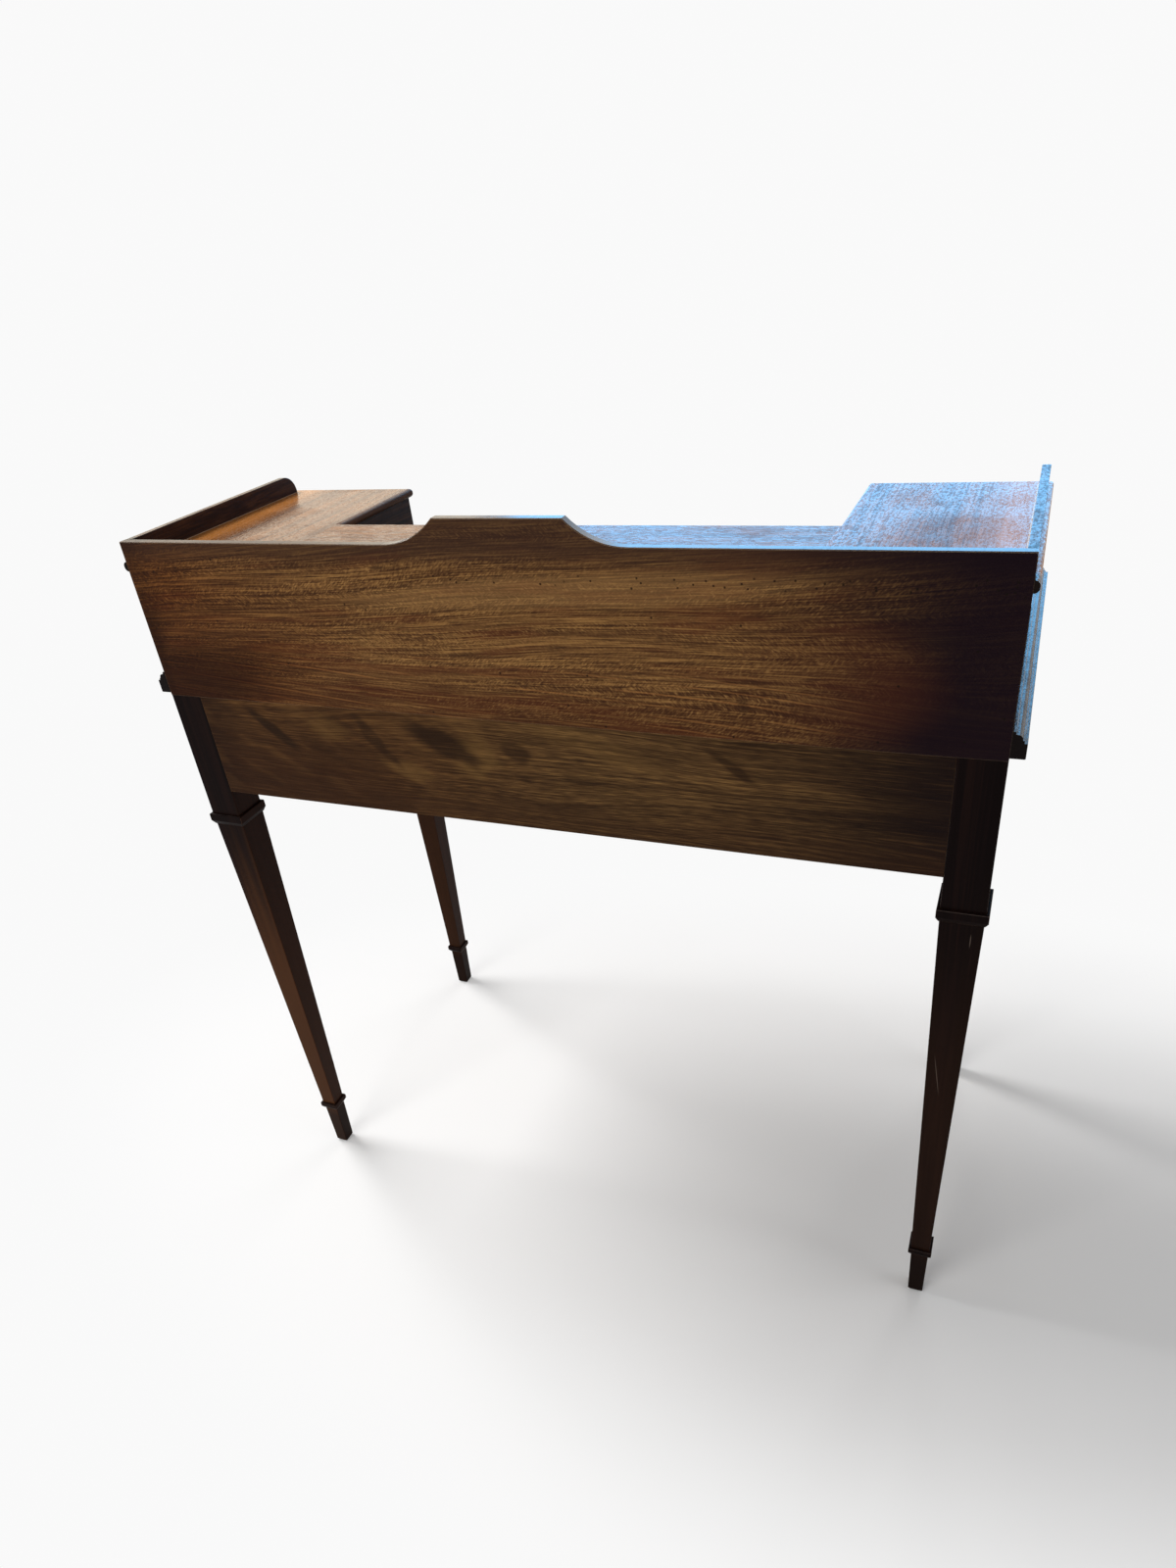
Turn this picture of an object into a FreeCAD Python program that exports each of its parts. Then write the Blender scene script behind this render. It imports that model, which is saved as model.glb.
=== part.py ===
"""A lady's writing desk: a table on four tapered legs, with a low U-shaped stage along its back and sides.

Axes: +X to the sitter's right, +Y to the back, +Z up. The origin is on the floor, under the middle of
the table top. Lengths are millimetres. Left and right are the sitter's.
"""
import FreeCAD
import Part
import math
import os
from types import SimpleNamespace

import Sketcher

SIZES = {
    # Table
    "carcase_width": 890,            # across the outer faces of the legs, and of the back board
    "table_depth": 453,              # back face to the front of the edge moulding
    "table_height": 764,             # writing height
    "table_thickness": 24,
    # Edge moulding, from the top arris outwards and down
    "moulding_flat": 2.7,
    "moulding_step": 2.5,
    "moulding_quirk": 1.5,
    "ovolo_radius": 4.2,
    "ovolo_drop": 0.7,
    "fillet_width": 1.5,
    "fillet_height": 2.6,
    "fascia_ledge": 2.6,             # how far the fascia stands out below the fillet
    "fascia_round": 1,
    # Writing leather
    "leather_width": 480,
    "leather_depth": 225,
    "leather_thickness": 1,
    "leather_margin": 38,            # front edge of the board to the leather
    # Legs
    "leg_width": 41,
    "taper_top_width": 40.2,
    "taper_foot_width": 21.2,
    "foot_top_width": 20,
    "foot_width": 17.2,
    "toe_height": 3,
    "toe_bevel": 1.8,
    "leg_arris": 0.8,
    "upper_collar_drop": 34,         # underside of the frieze to the top of the upper collar
    "upper_collar_width": 46.8,
    "upper_collar_face": 9.2,
    "upper_collar_bevel": 5.2,
    "lower_collar_level": 83,        # floor to the top of the lower collar
    "lower_collar_width": 26.4,
    "lower_collar_face": 7.2,
    "lower_collar_bevel": 4.4,
    "collar_lip": 0.6,               # the bevel's foot stands this far off the leg
    "collar_round": 1.2,
    # Frieze under the table
    "frieze_height": 123,
    "frieze_back_thickness": 18,
    "frieze_side_thickness": 18,
    "frieze_side_setback": 2,
    "rail_depth": 60,
    "rail_setback": 1,
    "lower_rail_height": 16,
    "upper_rail_height": 12,
    "divider_width": 20,
    "runner_ledge": 18,
    "runner_thickness": 14,
    "guide_height": 20,
    "stop_width": 24,
    "stop_depth": 12,
    "stop_clearance": 2.3,           # under the bottom of a drawer
    "stop_inset": 60,
    # Upper stage
    "back_board_thickness": 10,
    "back_board_drop": 3,            # below the underside of the table
    "stage_height": 123,             # table top to the top of the banks
    "gallery_height": 21,
    "crest_height": 24,
    "crest_flat_width": 129,
    "crest_sweep_radius": 82,
    "board_arris": 0.7,
    "stage_top_thickness": 10,
    "nosing": 4.5,                   # overhang of the stage's top beyond the walls below it
    "nosing_flat": 1.2,              # left upright between the two rounds of the nosing
    "bank_depth": 309,               # back face to the front edge of a bank's top
    "strip_depth": 150,              # back face to the front edge of the centre top
    "well_width": 548,               # between the tops of the banks
    "outer_side_thickness": 12,
    "inner_side_thickness": 10,
    "bank_shelf_thickness": 8,
    "gallery_thickness": 8,
    "gallery_setback": 11,           # front edge of the bank's top to the gallery
    "pigeonhole_divider_thickness": 8,
    "pigeonhole_divider_setback": 4,
    # Fits of the drawers
    "drawer_gap": 0.8,
    "seat_gap": 0.3,
    # Frieze drawers
    "front_thickness": 18,
    "side_thickness": 9,
    "back_thickness": 9,
    "bottom_thickness": 5,
    "bottom_rise": 6,
    "side_drop": 12,
    "drawer_back_gap": 8,
    "bead_width": 2.6,
    "bead_projection": 0.9,
    "bead_round": 0.4,
    # Bank drawers
    "small_front_thickness": 12,
    "small_side_thickness": 6,
    "small_back_thickness": 6,
    "small_bottom_thickness": 4,
    "small_bottom_rise": 4,
    "small_side_drop": 8,
    "small_back_gap": 0.5,
    # Knobs of the bank drawers
    "knob_radius": 7,
    "knob_base_radius": 5,
    "knob_neck_radius": 3,
    "knob_base_length": 1.5,
    "knob_neck_length": 4,
    "knob_rim_length": 1.2,
    "knob_crown_radius": 9.5,
    "spigot_radius": 2,
    "spigot_fit": 0.1,
    "spigot_cover": 3,               # timber left behind a spigot's hole
    # Handles of the frieze drawers
    "handle_span": 64,               # between the posts
    "rose_radius": 10,
    "rose_thickness": 2,
    "post_radius": 3,
    "post_length": 9,                # face of the drawer to the centre of the post's head
    "post_head_radius": 4.2,
    "post_shank_radius": 2.2,
    "bail_radius": 1.6,
    "bail_pin_fit": 0.15,
    "bail_pin_setback": 1.2,         # inner face of the post's head to the end of the pin
    "bail_gap": 1.2,                 # outer face of the post's head to the bail's arm
    "bail_shoulder": 3,
    "bail_drop": 24,
    "bail_corner": 14,
}


class Length:
    """A length in millimetres, with its formula in terms of the sheet's cells."""

    def __init__(self, formula, value):
        self.formula = formula
        self.value = value

    def __add__(self, other):
        other = length(other)
        return Length(f"({self.formula} + {other.formula})", self.value + other.value)

    def __sub__(self, other):
        other = length(other)
        return Length(f"({self.formula} - {other.formula})", self.value - other.value)

    def __mul__(self, factor):
        factor = length(factor)
        return Length(f"({self.formula} * {factor.formula})", self.value * factor.value)

    def __truediv__(self, divisor):
        return Length(f"({self.formula} / {divisor})", self.value / divisor)

    def __neg__(self):
        return Length(f"(0 - {self.formula})", -self.value)

    def root(self):
        return Length(f"sqrt({self.formula})", math.sqrt(self.value))


def length(value):
    """A plain number as a Length; a Length as it is."""
    return value if isinstance(value, Length) else Length(str(value), value)


doc = FreeCAD.newDocument("writing_desk")
sheet = doc.addObject("Spreadsheet::Sheet", "Sizes")
for row, (name, value) in enumerate(SIZES.items(), start=1):
    sheet.set(f"A{row}", name)
    sheet.set(f"B{row}", str(value))
    sheet.setAlias(f"B{row}", name)
doc.recompute()
size = SimpleNamespace(**{name: Length(f"Sizes.{name}", value) for name, value in SIZES.items()})

ZERO = length(0)
SIDES = {"left": -1, "right": 1}
nodes = []


def node(thing):
    """Marks a finished sub-part."""
    nodes.append(thing)
    return thing


def bind(thing, prop, value):
    thing.setExpression(prop, length(value).formula)


def place(thing, x=ZERO, y=ZERO, z=ZERO):
    for axis, value in zip("xyz", (x, y, z)):
        bind(thing, f"Placement.Base.{axis}", value)


def fit_box(box, x, y, z):
    """Sizes and places a box between two levels on each axis."""
    for prop, (low, high) in zip(("Length", "Width", "Height"), (x, y, z)):
        bind(box, prop, length(high) - low)
    place(box, x[0], y[0], z[0])
    return box


def board(label, x, y, z):
    """A plain board between two levels on each axis."""
    return fit_box(doc.addObject("Part::Box", label), x, y, z)


def group(label, pieces):
    """Separate solids that share one node."""
    compound = doc.addObject("Part::Compound", label)
    compound.Links = pieces
    return compound


def new_body(label, x=ZERO, y=ZERO, z=ZERO):
    body = doc.addObject("PartDesign::Body", label)
    place(body, x, y, z)
    return body


def add_box(body, x, y, z, cut=False):
    """A box added to a body, or cut from it."""
    kind = "Subtractive" if cut else "Additive"
    return fit_box(body.newObject(f"PartDesign::{kind}Box", f"{body.Label}_box"), x, y, z)


def add_prism(body, width, low, high):
    """A square prism about the body's Z axis."""
    half = width / 2
    return add_box(body, (-half, half), (-half, half), (low, high))


def add_taper(body, low, high, low_width, high_width):
    """A square frustum about the body's Z axis."""
    wedge = body.newObject("PartDesign::AdditiveWedge", f"{body.Label}_taper")
    wedge.Placement.Rotation = FreeCAD.Rotation(FreeCAD.Vector(1, 0, 0), 90)
    bind(wedge, "Ymin", low)
    bind(wedge, "Ymax", high)
    for suffix, width in (("", low_width), ("2", high_width)):
        for axis in "XZ":
            bind(wedge, f"{axis}{suffix}min", -(width / 2))
            bind(wedge, f"{axis}{suffix}max", width / 2)
    return wedge


def dress_edges(body, kind, prop, amount, wanted):
    """Dresses each edge of the body's tip that the test accepts."""
    doc.recompute()
    base = body.Tip
    chosen = [f"Edge{i}" for i, edge in enumerate(base.Shape.Edges, start=1) if wanted(edge)]
    dressing = body.newObject(f"PartDesign::{kind}", f"{body.Label}_{kind.lower()}")
    dressing.Base = (base, chosen)
    bind(dressing, prop, amount)


def round_edges(body, radius, wanted):
    dress_edges(body, "Fillet", "Radius", radius, wanted)


def bevel_edges(body, width, wanted):
    dress_edges(body, "Chamfer", "Size", width, wanted)


def new_sketch(body, plane):
    """A sketch on one of the body's own origin planes."""
    sketch = body.newObject("Sketcher::SketchObject", f"{body.Label}_sketch")
    origin_plane = next(item for item in body.Origin.OriginFeatures if item.Role == plane)
    sketch.AttachmentSupport = [(origin_plane, "")]
    sketch.MapMode = "FlatFace"
    return sketch


def draw(sketch, corners, arcs=None, closed=True):
    """Draws an outline through the corners, each held to its formula.

    arcs maps the number of a stretch to its centre and radius; every other stretch is straight.
    """
    arcs = arcs or {}
    points = [FreeCAD.Vector(length(x).value, length(y).value, 0) for x, y in corners]
    count = len(points) if closed else len(points) - 1
    ends = []
    for i in range(count):
        start, finish = points[i], points[(i + 1) % len(points)]
        curve = arc_between(start, finish, *arcs[i]) if i in arcs else Part.LineSegment(start, finish)
        sketch.addGeometry(curve)
        first, last = (sketch.getPoint(i, end) for end in (1, 2))
        runs_forward = first.distanceToPoint(start) < last.distanceToPoint(start)
        ends.append((1, 2) if runs_forward else (2, 1))
    for i in range(count if closed else count - 1):
        following = (i + 1) % count
        joint = Sketcher.Constraint("Coincident", i, ends[i][1], following, ends[following][0])
        sketch.addConstraint(joint)
    for number, corner in enumerate(corners):
        stretch, end = (number, 0) if number < count else (number - 1, 1)
        for axis, value in zip("XY", corner):
            hold(sketch, f"Distance{axis}", (-1, 1, stretch, ends[stretch][end]), value)
    for stretch, (centre, radius) in arcs.items():
        hold(sketch, "Radius", (stretch,), radius)


def arc_between(start, end, centre, radius):
    """The arc about a centre from start to end, the short way round."""
    centre = FreeCAD.Vector(length(centre[0]).value, length(centre[1]).value, 0)
    middle = (start + end) / 2 - centre
    return Part.Arc(start, centre + middle.normalize() * length(radius).value, end)


def hold(sketch, kind, where, value):
    """Adds a dimension bound to its formula."""
    index = sketch.addConstraint(Sketcher.Constraint(kind, *where, length(value).value))
    bind(sketch, f"Constraints[{index}]", value)


def pad(sketch, thickness):
    """Thickens a sketch along its own normal."""
    body = sketch.getParentGeoFeatureGroup()
    feature = body.newObject("PartDesign::Pad", f"{body.Label}_pad")
    feature.Profile = sketch
    bind(feature, "Length", thickness)
    return feature


def cut_through(sketch):
    """Cuts a sketch's outline through the body, against the sketch's normal."""
    body = sketch.getParentGeoFeatureGroup()
    feature = body.newObject("PartDesign::Pocket", f"{body.Label}_cut")
    feature.Profile = sketch
    feature.Type = "ThroughAll"
    return feature


def turn(sketch):
    """Turns a sketch about its own vertical axis."""
    body = sketch.getParentGeoFeatureGroup()
    feature = body.newObject("PartDesign::Revolution", f"{body.Label}_turning")
    feature.Profile = sketch
    feature.ReferenceAxis = (sketch, ["V_Axis"])
    feature.Angle = 360
    return feature


def drill(body, radius, depth, x, y, z, axis):
    """Drills a round hole from a point along an axis."""
    hole = body.newObject("PartDesign::SubtractiveCylinder", f"{body.Label}_hole")
    hole.Placement.Rotation = FreeCAD.Rotation(FreeCAD.Vector(0, 0, 1), axis)
    bind(hole, "Radius", radius)
    bind(hole, "Height", depth)
    place(hole, x, y, z)
    return hole


def across(side, inner, outer):
    """The span between two distances from the middle, on one side of it."""
    return (inner, outer) if side > 0 else (-outer, -inner)


def runs_along(edge, axis):
    """Whether an edge is straight and leans less than about ten degrees from an axis."""
    first, last = edge.Vertexes[0].Point, edge.Vertexes[-1].Point
    run = last - first
    return run.Length > 0 and abs(run.normalize().dot(axis)) > 0.985


X_AXIS = FreeCAD.Vector(1, 0, 0)
Y_AXIS = FreeCAD.Vector(0, 1, 0)
Z_AXIS = FreeCAD.Vector(0, 0, 1)

# Levels and faces shared by many pieces
half_width = size.carcase_width / 2
back_face = size.table_depth / 2
fillet_out = size.moulding_flat + size.moulding_quirk + size.ovolo_radius + size.fillet_width
moulding_width = fillet_out + size.fascia_ledge
front_face = moulding_width - back_face
board_front = back_face - size.back_board_thickness
underside = size.table_height - size.table_thickness
frieze_bottom = underside - size.frieze_height
upper_collar_level = frieze_bottom - size.upper_collar_drop
seam = underside - size.back_board_drop
stage_top = size.table_height + size.stage_height
stage_ceiling = stage_top - size.stage_top_thickness
low_edge = stage_top + size.gallery_height
shelf_middle = (size.table_height + stage_ceiling) / 2
shelf_bottom = shelf_middle - size.bank_shelf_thickness / 2
shelf_top = shelf_middle + size.bank_shelf_thickness / 2
leg_inner = half_width - size.leg_width
well_wall = size.well_width / 2 + size.nosing
bank_inner = well_wall + size.inner_side_thickness
bank_outer = half_width - size.outer_side_thickness
bank_front = back_face - size.bank_depth + size.nosing
strip_front = back_face - size.strip_depth + size.nosing
rail_front = front_face + size.rail_setback
rail_back = rail_front + size.rail_depth
opening_bottom = frieze_bottom + size.lower_rail_height
opening_top = underside - size.upper_rail_height
half_divider = size.divider_width / 2


def make_leg(label, side, at_back):
    """One square tapered leg with its pair of collars."""
    middle = half_width - size.leg_width / 2
    reach = back_face - size.leg_width / 2 if at_back else front_face + size.leg_width / 2
    centre = across(side, middle, middle)[0], reach
    leg = new_body(f"{label}_leg", *centre)
    shoulder = upper_collar_level - size.upper_collar_face
    add_prism(leg, size.leg_width, shoulder, underside)
    add_taper(leg, size.lower_collar_level, shoulder, size.taper_foot_width, size.taper_top_width)
    add_taper(leg, size.toe_height, size.lower_collar_level, size.foot_width, size.foot_top_width)
    add_taper(leg, ZERO, size.toe_height, size.foot_width - size.toe_bevel * 2, size.foot_width)
    round_edges(leg, size.leg_arris, lambda edge: runs_along(edge, Z_AXIS))
    if at_back:
        half = size.leg_width / 2
        rebate = size.back_board_thickness
        add_box(leg, (-half, half), (half - rebate, half), (seam, underside), cut=True)
    node(leg)
    collars = [
        make_collar(f"{label}_upper_collar", leg, centre, upper_collar_level, size.upper_collar_width,
                    size.upper_collar_face, size.upper_collar_bevel, size.taper_top_width),
        make_collar(f"{label}_lower_collar", leg, centre, size.lower_collar_level, size.lower_collar_width,
                    size.lower_collar_face, size.lower_collar_bevel, size.foot_top_width),
    ]
    node(group(f"{label}_collars", collars))


def make_collar(label, leg, centre, top, width, face, bevel, leg_width):
    """A square moulding planted round a leg: an upright face over a bevel."""
    blank = new_body(f"{label}_blank", *centre)
    add_prism(blank, width, top - face, top)
    add_taper(blank, top - face - bevel, top - face, leg_width + size.collar_lip * 2, width)
    rim = width.value - 0.01
    round_edges(blank, size.collar_round, lambda edge: not runs_along(edge, Z_AXIS)
                and max(edge.BoundBox.XLength, edge.BoundBox.YLength) > rim)
    collar = doc.addObject("Part::Cut", label)
    collar.Base = blank
    collar.Tool = leg
    return collar


def make_frieze():
    """The rails under the table top, and what carries the frieze drawers."""
    back_inner = back_face - size.frieze_back_thickness
    frieze_back = new_body("frieze_back")
    span = (-leg_inner, leg_inner)
    add_box(frieze_back, span, (back_inner, back_face), (frieze_bottom, seam))
    add_box(frieze_back, span, (back_inner, board_front), (frieze_bottom, underside))
    node(frieze_back)

    leg_front_line = front_face + size.leg_width
    leg_back_line = back_face - size.leg_width
    side_face = half_width - size.frieze_side_setback
    side_inner = side_face - size.frieze_side_thickness
    for name, side in SIDES.items():
        node(board(f"frieze_{name}", across(side, side_inner, side_face),
                   (leg_front_line, leg_back_line), (frieze_bottom, underside)))
        make_runner(f"{name}_runner", side, side_inner, leg_back_line)

    rail_span = (rail_front, rail_back)
    node(board("lower_rail", span, rail_span, (frieze_bottom, opening_bottom)))
    node(board("upper_rail", span, rail_span, (opening_top, underside)))
    node(board("drawer_divider", (-half_divider, half_divider), rail_span, (opening_bottom, opening_top)))

    ledge = half_divider + size.runner_ledge
    behind_rail = (rail_back, back_inner)
    node(board("centre_runner", (-ledge, ledge), behind_rail,
               (opening_bottom - size.runner_thickness, opening_bottom)))
    node(board("centre_guide", (-half_divider, half_divider), behind_rail,
               (opening_bottom, opening_bottom + size.guide_height)))
    kickers = [board("centre_kicker", (-ledge, ledge), behind_rail, (opening_top, underside))]
    for name, side in SIDES.items():
        kickers.append(board(f"{name}_kicker", across(side, leg_inner - size.runner_ledge, leg_inner),
                             behind_rail, (opening_top, underside)))
    node(group("drawer_kickers", kickers))

    stop_front = rail_front + size.front_thickness + size.seat_gap
    stop_top = opening_bottom + size.seat_gap + size.bottom_rise - size.stop_clearance
    stops = []
    for name, side in SIDES.items():
        for inset in (half_divider + size.stop_inset, leg_inner - size.stop_inset - size.stop_width):
            stops.append(board(f"{name}_stop", across(side, inset, inset + size.stop_width),
                               (stop_front, stop_front + size.stop_depth),
                               (opening_bottom, stop_top)))
    node(group("drawer_stops", stops))


def make_runner(label, side, outer, back_line):
    """An L-shaped runner: a ledge under the drawer's side, with a guide beside it."""
    runner = new_body(label)
    run = (rail_back, back_line)
    bottom = opening_bottom - size.runner_thickness
    ledge = across(side, leg_inner - size.runner_ledge, outer)
    guide = across(side, leg_inner, outer)
    add_box(runner, ledge, run, (bottom, opening_bottom))
    add_box(runner, guide, run, (bottom, opening_bottom + size.guide_height))
    node(runner)


def make_table():
    """The table top with its inset leather and its edge mouldings."""
    top = new_body("table_top")
    add_box(top, (-half_width, half_width), (front_face, board_front), (underside, size.table_height))
    leather_span = (-size.leather_width / 2, size.leather_width / 2)
    leather_front = front_face + size.leather_margin
    leather_reach = (leather_front, leather_front + size.leather_depth)
    leather_levels = (size.table_height - size.leather_thickness, size.table_height)
    add_box(top, leather_span, leather_reach, leather_levels, cut=True)
    node(top)
    node(board("writing_leather", leather_span, leather_reach, leather_levels))
    for name, side in SIDES.items():
        make_side_moulding(f"{name}_edge_moulding", side)
    make_front_moulding()


def moulding_profile(out=1):
    """The section of the edge moulding: (outwards, up) from the top arris of the board."""
    ovolo_out = fillet_out - size.fillet_width
    ovolo_low = -(size.moulding_step + size.ovolo_radius)
    fillet_top = ovolo_low - size.ovolo_drop
    fascia_top = fillet_top - size.fillet_height
    corners = [
        (ZERO, ZERO),
        (size.moulding_flat, ZERO),
        (size.moulding_flat, -size.moulding_step),
        (size.moulding_flat + size.moulding_quirk, -size.moulding_step),
        (ovolo_out, ovolo_low),
        (ovolo_out, fillet_top),
        (fillet_out, fillet_top),
        (fillet_out, fascia_top),
        (moulding_width, fascia_top),
        (moulding_width, size.fascia_round - size.table_thickness),
        (moulding_width - size.fascia_round, -size.table_thickness),
        (ZERO, -size.table_thickness),
    ]
    ovolo_centre = (size.moulding_flat + size.moulding_quirk, ovolo_low)
    round_centre = (moulding_width - size.fascia_round, size.fascia_round - size.table_thickness)
    arcs = {3: (ovolo_centre, size.ovolo_radius), 9: (round_centre, size.fascia_round)}
    if out < 0:
        corners = [(-x, y) for x, y in corners]
        arcs = {i: ((-centre[0], centre[1]), radius) for i, (centre, radius) in arcs.items()}
    return corners, arcs


def make_side_moulding(label, side):
    """The moulding along one end of the table, mitred at the front."""
    moulding = new_body(label, across(side, half_width, half_width)[0], back_face, size.table_height)
    section = new_sketch(moulding, "XZ_Plane")
    draw(section, *moulding_profile(side))
    pad(section, size.table_depth)
    near, far = moulding_width - size.table_depth, -size.table_depth
    mitre = new_sketch(moulding, "XY_Plane")
    draw(mitre, [(ZERO, near), (ZERO, far), (across(side, moulding_width, moulding_width)[0], far)])
    cut_through(mitre)
    node(moulding)


def make_front_moulding():
    """The moulding along the front of the table, mitred at both ends."""
    moulding = new_body("front_edge_moulding", -(half_width + moulding_width), front_face,
                        size.table_height)
    section = new_sketch(moulding, "YZ_Plane")
    draw(section, *moulding_profile(-1))
    total = size.carcase_width + moulding_width * 2
    pad(section, total)
    for start, inner in ((ZERO, moulding_width), (total, total - moulding_width)):
        mitre = new_sketch(moulding, "XY_Plane")
        draw(mitre, [(start, -moulding_width), (start, ZERO), (inner, ZERO)])
        cut_through(mitre)
    node(moulding)


def make_back_board():
    """The tall board across the back, with its raised crest between two hollow sweeps."""
    back = new_body("back_board", ZERO, back_face, ZERO)
    crest_top = low_edge + size.crest_height
    crest_half = size.crest_flat_width / 2
    radius = size.crest_sweep_radius
    drop = radius - size.crest_height
    run = (radius * radius - drop * drop).root()
    foot = crest_half + run
    outline = new_sketch(back, "XZ_Plane")
    corners = [
        (-half_width, seam), (half_width, seam), (half_width, low_edge), (foot, low_edge),
        (crest_half, crest_top), (-crest_half, crest_top), (-foot, low_edge), (-half_width, low_edge),
    ]
    centre_level = low_edge + radius
    draw(outline, corners, {3: ((foot, centre_level), radius), 5: ((-foot, centre_level), radius)})
    pad(outline, size.back_board_thickness)
    level = low_edge.value - 0.01
    bevel_edges(back, size.board_arris, lambda edge: edge.BoundBox.ZMin > level
                and not runs_along(edge, Y_AXIS))
    node(back)


def make_stage():
    """The two banks and the pigeonholes between them, with the U-shaped top over all."""
    make_stage_top()
    walls = (bank_front, board_front)
    levels = (size.table_height, stage_ceiling)
    for name, side in SIDES.items():
        node(board(f"{name}_bank_outer_side", across(side, bank_outer, half_width), walls, levels))
        node(board(f"{name}_bank_inner_side", across(side, well_wall, bank_inner), walls, levels))
        node(board(f"{name}_bank_shelf", across(side, bank_inner, bank_outer), walls,
                   (shelf_bottom, shelf_top)))
        make_gallery(f"{name}_gallery", side)
    thickness = size.pigeonhole_divider_thickness
    bay = (well_wall * 2 - thickness * 3) / 4
    for i, name in enumerate(("left", "centre", "right")):
        start = -well_wall + bay * (i + 1) + thickness * i
        node(board(f"{name}_pigeonhole_divider", (start, start + thickness),
                   (strip_front + size.pigeonhole_divider_setback, board_front), levels))


def make_stage_top():
    """The U-shaped top: one outline with a rounded nosing, in three boards."""
    blank = new_body("stage_top_blank", ZERO, ZERO, stage_ceiling)
    outer = half_width + size.nosing
    inner = size.well_width / 2
    front = back_face - size.bank_depth
    strip = back_face - size.strip_depth
    outline = new_sketch(blank, "XY_Plane")
    draw(outline, [(-outer, back_face), (-outer, front), (-inner, front), (-inner, strip),
                   (inner, strip), (inner, front), (outer, front), (outer, back_face)])
    pad(outline, size.stage_top_thickness)
    back_line = back_face.value - 0.01
    nosing_round = (size.stage_top_thickness - size.nosing_flat) / 2
    round_edges(blank, nosing_round, lambda edge: not runs_along(edge, Z_AXIS)
                and edge.BoundBox.YMin < back_line)
    levels = (ZERO, size.stage_top_thickness)
    add_box(blank, (-half_width, half_width), (board_front, back_face), levels, cut=True)
    regions = {"centre_top": (-inner, inner)}
    regions.update({f"{name}_bank_top": across(side, inner, outer) for name, side in SIDES.items()})
    for label, span in regions.items():
        region = board(f"{label}_region", span, (front, back_face), (stage_ceiling, stage_top))
        top = doc.addObject("Part::Common", label)
        top.Base = blank
        top.Tool = region
        node(top)


def make_gallery(label, side):
    """A low rail on a bank, its front corner rounded to a quarter circle."""
    start = across(side, half_width - size.gallery_thickness, half_width)[0]
    gallery = new_body(label, start, ZERO, stage_top)
    end = back_face - size.bank_depth + size.gallery_setback
    height = size.gallery_height
    outline = new_sketch(gallery, "YZ_Plane")
    corners = [(board_front, ZERO), (board_front, height), (end + height, height), (end, ZERO)]
    draw(outline, corners, {2: ((end + height, ZERO), height)})
    pad(outline, size.gallery_thickness)
    round_edges(gallery, size.board_arris, lambda edge: edge.BoundBox.ZMax > 0.01
                and not runs_along(edge, X_AXIS) and not runs_along(edge, Z_AXIS))
    node(gallery)


def make_front(label, x, y, z, thickness):
    """A drawer front with a raised bead round its face; y is the plane of the field."""
    front = new_body(label)
    bead, rise = size.bead_width, size.bead_projection
    add_box(front, x, (y - rise, y + thickness), z)
    add_box(front, (x[0] + bead, x[1] - bead), (y - rise, y), (z[0] + bead, z[1] - bead), cut=True)
    bead_face = (y - rise).value + 0.01
    round_edges(front, size.bead_round, lambda edge: edge.BoundBox.YMax < bead_face)
    return front


def make_box(label, x, y, z, side, back, bottom, rise):
    """The sides, back and bottom of a drawer, as separate boards."""
    inner = (x[0] + side, x[1] - side)
    node(group(label, [
        board(f"{label}_left", (x[0], inner[0]), y, z),
        board(f"{label}_right", (inner[1], x[1]), y, z),
        board(f"{label}_back", inner, (y[1] - back, y[1]), (z[0] + rise, z[1])),
        board(f"{label}_bottom", inner, (y[0], y[1] - back), (z[0] + rise, z[0] + rise + bottom)),
    ]))


def make_bank_drawer(label, side, levels):
    """A small drawer of a bank, with its turned knob."""
    gap, seat = size.drawer_gap, size.seat_gap
    span = across(side, bank_inner + gap, bank_outer - gap)
    bottom, top = levels[0] + gap, levels[1] - gap
    front = make_front(f"{label}_front", span, bank_front, (bottom, top), size.small_front_thickness)
    middle = (span[0] + span[1]) / 2, (bottom + top) / 2
    hole_depth = size.small_front_thickness - size.spigot_cover
    drill(front, size.spigot_radius + size.spigot_fit, hole_depth, middle[0], bank_front, middle[1], Y_AXIS)
    node(front)
    reach = (bank_front + size.small_front_thickness, board_front - size.small_back_gap)
    make_box(f"{label}_box", span, reach, (levels[0] + seat, top - size.small_side_drop),
             size.small_side_thickness, size.small_back_thickness, size.small_bottom_thickness,
             size.small_bottom_rise)
    make_knob(f"{label}_knob", middle[0], bank_front, middle[1], hole_depth - size.spigot_fit)


def make_knob(label, x, y, z, spigot_length):
    """A turned knob: base, neck, flared rim and domed crown, on a spigot that enters the drawer front."""
    knob = new_body(label, x, y, z)
    profile = new_sketch(knob, "XY_Plane")
    neck_end = -(size.knob_base_length + size.knob_neck_length)
    flare = size.knob_radius - size.knob_neck_radius
    rim_start = neck_end - flare
    rim_end = rim_start - size.knob_rim_length
    crown = size.knob_crown_radius
    crown_centre = rim_end + (crown * crown - size.knob_radius * size.knob_radius).root()
    corners = [
        (ZERO, spigot_length), (size.spigot_radius, spigot_length), (size.spigot_radius, ZERO),
        (size.knob_base_radius, ZERO), (size.knob_base_radius, -size.knob_base_length),
        (size.knob_neck_radius, -size.knob_base_length), (size.knob_neck_radius, neck_end),
        (size.knob_radius, rim_start), (size.knob_radius, rim_end), (ZERO, crown_centre - crown),
    ]
    draw(profile, corners, {6: ((size.knob_radius, neck_end), flare), 8: ((ZERO, crown_centre), crown)})
    turn(profile)
    node(knob)


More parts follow.
